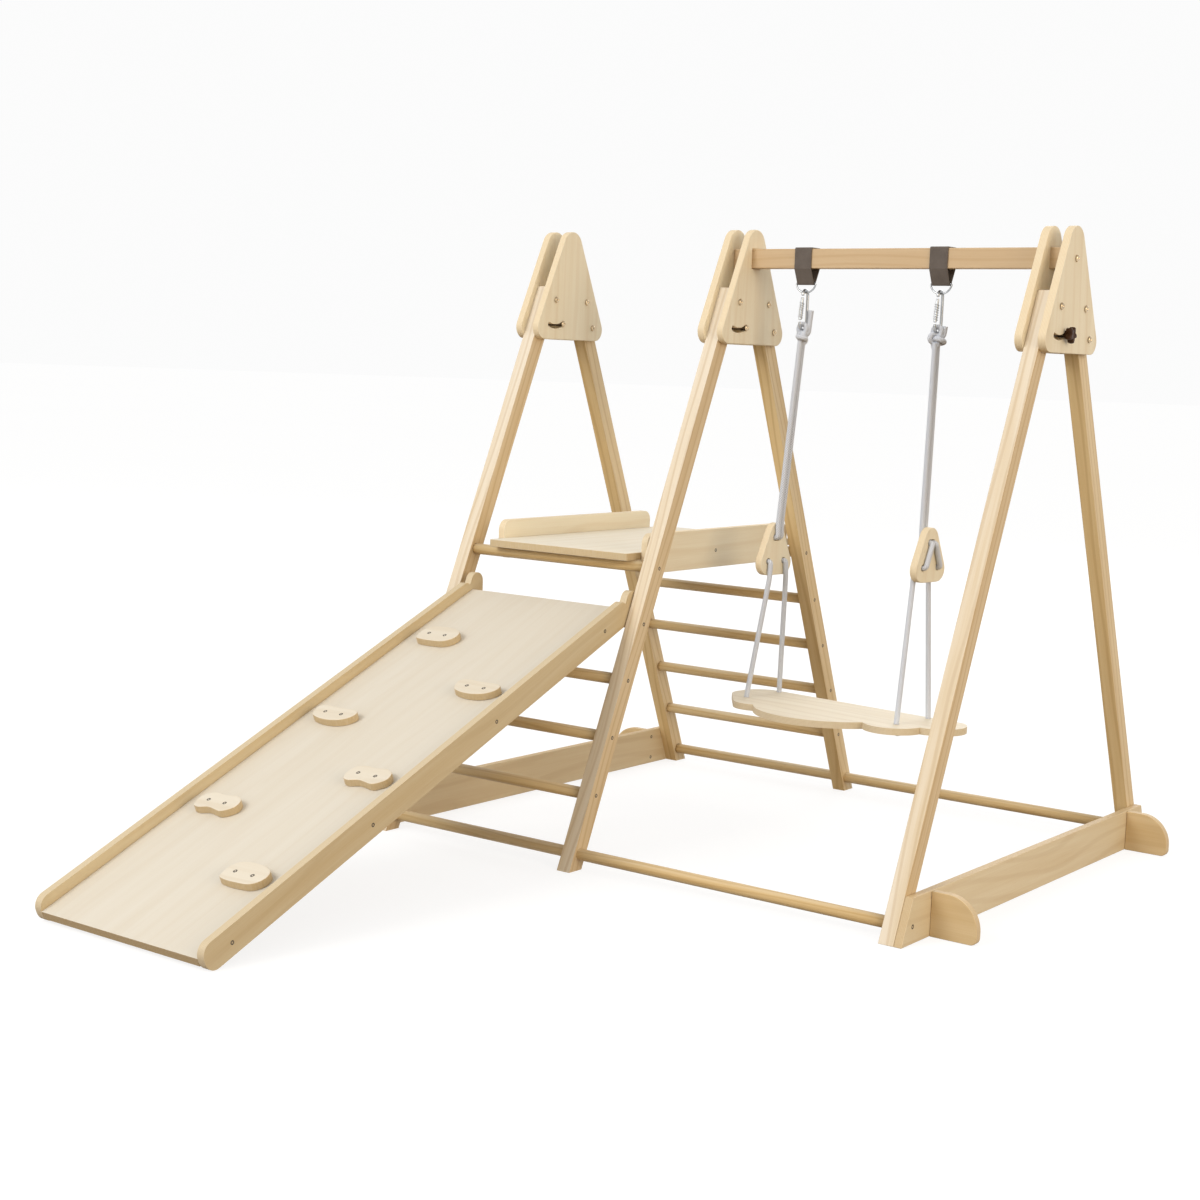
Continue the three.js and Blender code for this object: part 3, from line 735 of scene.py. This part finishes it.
for i, word in enumerate(("left", "middle", "right")):
    out = 1 if i == 2 else -1
    reach = PLATE_OUT + GAP
    y = PIVOT_Y + LOCK_R * math.sin(LOCK_AT)
    z = PIVOT_Z - LOCK_R * math.cos(LOCK_AT)
    face = row(FRAME_X[i] + out * reach, y, z)
    far = row(FRAME_X[i] - out * reach, y, z)
    knob_rings = [
        (0.0072, 0.0), (0.0074, 0.0042),
        (lambda a: 0.0140 * star(a), 0.0046), (lambda a: 0.0154 * star(a), 0.0062),
        (lambda a: 0.0157 * star(a), 0.0100), (lambda a: 0.0154 * star(a), 0.0138),
        (lambda a: 0.0142 * star(a), 0.0154), (lambda a: 0.0120 * star(a), 0.0160),
        (0.0062, 0.0160), (0.0052, 0.0154), (0.0030, 0.0152),
    ]
    points, faces = revolved(face, X * out, knob_rings, 80)
    knob = piece(f"star_knob_{word}", points, faces, knob_plastic, f"knob_{word}")
    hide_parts(f"lock_knob_{i}")
    shaft = revolved(far, X * out, [(0.0040, 0.0), (0.0040, 2 * reach + 0.001)], 24)
    for label, (points, faces), material in (
        ("shaft", shaft, slot_shade_steel),
        ("head", cap_bolt(far, X * -out), nickel),
    ):
        bolt = piece(f"lock_bolt_{label}_{word}", points, faces, material, f"knob_{word}")
        bolt.data.polygons.foreach_set("use_smooth", [len(p.vertices) == 4 for p in bolt.data.polygons])
        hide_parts(f"lock_knob_{i}")


# ---- webbing straps ----
def round_hull(discs, steps=8):
    """The line round discs, anticlockwise and each (y, z, radius), with the way out at each point."""
    normals = []
    for (y1, z1, r1), (y2, z2, r2) in zip(discs, discs[1:] + discs[:1]):
        dy, dz = y2 - y1, z2 - z1
        normals.append(math.atan2(dz, dy) - math.pi / 2 + math.asin((r1 - r2) / math.hypot(dy, dz)))
    out = []
    for i, (y, z, r) in enumerate(discs):
        start, end = normals[i - 1], normals[i]
        while end < start:
            end += 2 * math.pi
        for k in range(steps + 1):
            a = start + (end - start) * k / steps
            out.append(((y + r * math.cos(a), z + r * math.sin(a)), (math.cos(a), math.sin(a))))
    return out


STRAP_MID = GAP + STRAP_T / 2
HALF_T = STRAP_T / 2
# The strap's section as (across, out), a flat band with round selvedges.
EDGE = STRAP_W / 2 - HALF_T
section = [(-EDGE + 2 * EDGE * k / 12, -HALF_T) for k in range(13)]
section += [(EDGE + HALF_T * math.sin(a), -HALF_T * math.cos(a)) for a in (0.5, 1.05, math.pi / 2, 2.1, 2.64)]
section += [(EDGE - 2 * EDGE * k / 12, HALF_T) for k in range(13)]
section += [(-EDGE - HALF_T * math.sin(a), HALF_T * math.cos(a)) for a in (0.5, 1.05, math.pi / 2, 2.1, 2.64)]

strap_line = round_hull(
    [
        (BAR_HALF[0], BAR_Z + BAR_HALF[1], STRAP_MID),
        (-BAR_HALF[0], BAR_Z + BAR_HALF[1], STRAP_MID),
        (-BAR_HALF[0], BAR_Z - BAR_HALF[1], STRAP_MID),
        (0, RING_Z, RING_R + STRAP_MID),
        (BAR_HALF[0], BAR_Z - BAR_HALF[1], STRAP_MID),
    ]
)


def fine_loop(line, step):
    """The closed line with more points on its straight stretches."""
    out = []
    for (p, n), (q, m) in zip(line, line[1:] + line[:1]):
        far = math.hypot(q[0] - p[0], q[1] - p[1])
        parts = max(1, int(far / step))
        for k in range(parts):
            t = k / parts
            at = (p[0] + (q[0] - p[0]) * t, p[1] + (q[1] - p[1]) * t)
            mixed = (n[0] + (m[0] - n[0]) * t, n[1] + (m[1] - n[1]) * t)
            size = math.hypot(*mixed)
            out.append((at, (mixed[0] / size, mixed[1] / size)))
    return out


strap_line = fine_loop(strap_line, 0.003)
for word, x in zip(("left", "right"), STRAP_X):
    points, uvs, faces = [], [], []
    gone = 0.0
    for i, ((y, z), (ny, nz)) in enumerate(strap_line):
        if i:
            before = strap_line[i - 1][0]
            gone += math.hypot(y - before[0], z - before[1])
        for across, out in section:
            points.append(row(x + across, y + ny * out, z + nz * out))
            uvs.append((across, gone))
    wide, long = len(section), len(strap_line)
    for i in range(long):
        j = (i + 1) % long
        for k in range(wide):
            m = (k + 1) % wide
            faces.append((i * wide + k, j * wide + k, j * wide + m, i * wide + m))
    strap = piece(f"webbing_{word}", points, faces, strap_weave, "straps", ("weave", uvs))
    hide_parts(f"strap_{word}")

    # Two rows of stitches close the loop above the ring, and one up each side, on both faces.
    stitches = []
    for side in (-1, 1):
        foot = Vector((0, side * (RING_R + GAP + STRAP_T), RING_Z))
        top = Vector((0, side * (BAR_HALF[0] + GAP + STRAP_T), BAR_Z - BAR_HALF[1]))
        upward = (top - foot).normalized()
        outward = Vector((0, upward.z * side, -upward.y * side))
        spots = []
        for height in (0.010, 0.022):
            spots += [(-0.0145 + 0.0041 * k, height, X) for k in range(8)]
        for edge in (-0.0160, 0.0160):
            spots += [(edge, 0.0118 + 0.0041 * k, upward) for k in range(3)]
        for across, height, run in spots:
            middle = row(x + across, 0, 0) + foot + upward * height + outward * 0.0001
            ends = [middle - run * 0.0014, middle + run * 0.0014]
            ring = []
            for t, swell in ((0.0, 0.25), (0.18, 0.8), (0.5, 1.0), (0.82, 0.8), (1.0, 0.25)):
                centre = ends[0].lerp(ends[1], t)
                ring.append((centre, 0.00045 * swell))
            other = run.cross(outward).normalized()
            pts, fcs = [], []
            for centre, r in ring:
                for k in range(8):
                    a = 2 * math.pi * k / 8
                    pts.append(centre + outward * (r * math.cos(a)) + other * (r * math.sin(a)))
            for i in range(4):
                for k in range(8):
                    m = (k + 1) % 8
                    fcs.append((i * 8 + k, (i + 1) * 8 + k, (i + 1) * 8 + m, i * 8 + m))
            fcs.append(tuple(range(8)))
            fcs.append(tuple(reversed([32 + k for k in range(8)])))
            stitches.append((pts, fcs))
    points, faces = joined(stitches)
    piece(f"stitches_{word}", points, faces, strap_thread, "straps")


# ---- swing: rings and hooks ----
for word in ("left", "right"):
    dress(f"d_ring_{word}", zinc, subdivide=1)
    dress(f"snap_hook_{word}", zinc, subdivide=1)
    dress(f"snap_gate_{word}", zinc, bevel=0.0012)


SWING_LEAN = math.pi / 2 - math.atan2(RING_Z - SEAT_TOP_Z, -SEAT_Y)


def leaned(x, y, z):
    """A point of the swing drawn plumb, leaned forward about the ring, in the row frame."""
    c, s = math.cos(SWING_LEAN), math.sin(SWING_LEAN)
    return row(x, y * c + (z - RING_Z) * s, RING_Z + (z - RING_Z) * c - y * s)


def wire_tube(line, radius, sides=10):
    """Points and faces of a round wire along a line."""
    points, faces = [], []
    for p, (n, s) in zip(line, turning_frames(line)):
        for k in range(sides):
            a = 2 * math.pi * k / sides
            points.append(p + n * (radius * math.cos(a)) + s * (radius * math.sin(a)))
    last = (len(line) - 1) * sides
    for i in range(len(line) - 1):
        for k in range(sides):
            m = (k + 1) % sides
            faces.append((i * sides + k, i * sides + m, (i + 1) * sides + m, (i + 1) * sides + k))
    faces.append(tuple(reversed(range(sides))))
    faces.append(tuple(last + k for k in range(sides)))
    return points, faces


# A spring is wound round each gate.
SPRING_TURNS = 7
SPRING_R = 0.0042
SPRING_WIRE = 0.0008
for word, x in zip(("left", "right"), STRAP_X):
    heel, nose = leaned(x, *GATE_HEEL), leaned(x, *GATE_NOSE)
    run = (nose - heel).normalized()
    side = run.cross(X)
    line = []
    for k in range(SPRING_TURNS * 20 + 1):
        a = 2 * math.pi * k / 20
        t = 0.14 + 0.62 * k / (SPRING_TURNS * 20)
        line.append(heel.lerp(nose, t) + side * (SPRING_R * math.cos(a)) + X * (SPRING_R * math.sin(a)))
    points, faces = wire_tube(line, SPRING_WIRE)
    piece(f"gate_spring_{word}", points, faces, zinc, f"gate_{word}")

# ---- swing: ropes ----

def trefoil(centre, size, height, lean=0.0, spin=0.0, count=96):
    """A closed knot line round a centre: three lobes in the level plane, then turned."""
    turn = Matrix.Rotation(spin, 3, "Z") @ Matrix.Rotation(lean, 3, "Y")
    out = []
    for k in range(count):
        t = 2 * math.pi * k / count
        p = Vector(
            (
                size * (math.sin(t) + 2 * math.sin(2 * t)) / 3,
                size * (math.cos(t) - 2 * math.cos(2 * t)) / 3,
                -height * math.sin(3 * t),
            )
        )
        out.append(centre + turn @ p)
    return out


for i, word in enumerate(("left", "right")):
    hand = -1 if i == 0 else 1
    x = STRAP_X[i]
    mid_x, mid_y, top_z = ADJ_AT[i]
    near = -hand * (PLY / 2 + ROPE_R + 0.0006)

    def on_plate(across, along, height):
        c, s = math.cos(SEAT_TURN), math.sin(SEAT_TURN)
        return row(mid_x + across * c - along * s, mid_y + across * s + along * c, top_z - ADJ_H + height)

    def strand(side):
        c, s = math.cos(SEAT_TURN), math.sin(SEAT_TURN)
        hx, hy = hand * HOLE_X, side * HOLE_Y
        foot_x, foot_y = SEAT_X + hx * c - hy * s, SEAT_Y + hx * s + hy * c
        return [
            row(foot_x, foot_y, SEAT_TOP_Z - SEAT_T - ROPE_R - 0.0006),
            row(foot_x, foot_y, SEAT_TOP_Z + 0.003),
            on_plate(near, side * (ADJ_LOW_Y + 0.002), -0.006),
            on_plate(near, side * ADJ_LOW_Y, ADJ_LOW_HOLE),
            on_plate(-near, side * ADJ_LOW_Y, ADJ_LOW_HOLE),
            on_plate(-near, side * STRAND_Y, ADJ_TOP_HOLE),
            on_plate(near, side * STRAND_Y, ADJ_TOP_HOLE),
            on_plate(near, side * STRAND_Y, ADJ_H + 0.004),
        ]

    bight = strand(-1)[::-1] + strand(1)
    knot_at = leaned(x, 0, KNOT_Z)
    eye_r = SNAP_R + ROPE_R + 0.0006
    eye = []
    for k in range(13):
        a = math.radians(200 - 220 * k / 12)
        eye.append(leaned(x + eye_r * math.cos(a), 0, SNAP_BOTTOM_Z + SNAP_R + eye_r * math.sin(a)))
    lower = [leaned(x - 0.0052, 0.0, KNOT_Z + 0.004), leaned(x + 0.0052, 0.0, KNOT_Z + 0.004)]
    join_front = knot_at + Vector((0, -STRAND_Y, -0.004))
    join_rear = knot_at + Vector((0, STRAND_Y, -0.004))
    path = rounded([join_front] + bight + [join_rear, lower[1]] + eye[::-1] + [lower[0]], ROPE_R + 0.0006)
    rope, line = rope_piece(f"swing_rope_{word}", path)
    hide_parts(f"rope_{word}")

    knots = []
    knot_line = trefoil(knot_at, KNOT_SIZE[i], KNOT_HALF_HEIGHT, lean=1.15, spin=0.5 + 1.1 * i)
    knot, _ = rope_piece(f"hook_knot_{word}", knot_line, closed=True)
    knots.append(knot)
    tail_line = [
        knot_at,
        leaned(x + 0.011, 0.005, KNOT_Z + 0.010),
        leaned(x + 0.013, 0.006, TAIL_TOP_Z[i]),
    ]
    tail, _ = rope_piece(f"rope_tail_{word}", rounded(tail_line, 0.010))
    knots.append(tail)
    for knot in knots:
        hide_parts(f"rope_{word}")


# ---- floor and light ----
def disc_floor(radius):
    mesh = bpy.data.meshes.new("floor")
    bm = bmesh.new()
    bmesh.ops.create_circle(bm, cap_ends=True, segments=96, radius=radius)
    bm.to_mesh(mesh)
    bm.free()
    floor = bpy.data.objects.new("floor", mesh)
    bpy.context.scene.collection.objects.link(floor)
    return floor


floor = disc_floor(90.0)
floor.location = (0, 0, -0.0005)
paper = Shader("studio_floor", Roughness=0.9, Specular_IOR_Level=0.0, Emission_Strength=0.80)
tone = paper.noise(paper.node("TexCoord").outputs["Object"], 0.4, 2.0, 0.5)
paper.set(Base_Color=paper.mix(tone, rgb(0.26, 0.26, 0.26), rgb(0.25, 0.25, 0.25)))
paper.bsdf.inputs["Emission Color"].default_value = rgb(1, 1, 1)
floor.data.materials.append(paper.material)
floor.visible_diffuse = False

world = bpy.data.worlds.new("studio")
bpy.context.scene.world = world
world.use_nodes = True
tree = world.node_tree
tree.nodes.clear()
coord = tree.nodes.new("ShaderNodeTexCoord")
split = tree.nodes.new("ShaderNodeSeparateXYZ")
ramp = tree.nodes.new("ShaderNodeValToRGB")
spread = tree.nodes.new("ShaderNodeMapRange")
sky = tree.nodes.new("ShaderNodeBackground")
out = tree.nodes.new("ShaderNodeOutputWorld")
spread.inputs["From Min"].default_value = -1
spread.inputs["From Max"].default_value = 1
tree.links.new(coord.outputs["Generated"], split.inputs[0])
tree.links.new(split.outputs["Z"], spread.inputs["Value"])
tree.links.new(spread.outputs[0], ramp.inputs[0])
tree.links.new(ramp.outputs[0], sky.inputs["Color"])
tree.links.new(sky.outputs[0], out.inputs["Surface"])
stops = ramp.color_ramp.elements
stops[0].position, stops[0].color = 0.0, rgb(0.19, 0.115, 0.04)
stops[1].position, stops[1].color = 1.0, rgb(0.57, 0.56, 0.545)
for position, colour in (
    (0.44, rgb(0.20, 0.125, 0.045)),
    (0.49, rgb(0.97, 0.97, 0.97)),
    (0.62, rgb(0.97, 0.97, 0.97)),
):
    stop = stops.new(position)
    stop.color = colour


def softbox(name, at, towards, size, power, colour=(1, 1, 1)):
    light = bpy.data.lights.new(name, "AREA")
    light.shape = "DISK"
    light.size = size
    light.energy = power
    light.color = colour
    o = bpy.data.objects.new(name, light)
    o.location = at
    o.rotation_euler = (Vector(towards) - Vector(at)).to_track_quat("-Z", "Y").to_euler()
    bpy.context.scene.collection.objects.link(o)
    return o


softbox("key", (-2.2, -6.0, 4.6), (0, 0.3, 0.5), 4.0, 270)
softbox("fill", (6.5, -1.5, 2.4), (0, 0, 0.6), 4.0, 160, (1.0, 0.82, 0.58))
softbox("back", (-1.5, 6.5, 3.5), (0, 0, 0.6), 4.0, 110)

view = bpy.context.scene.view_settings
view.view_transform = "Standard"
view.look = "None"
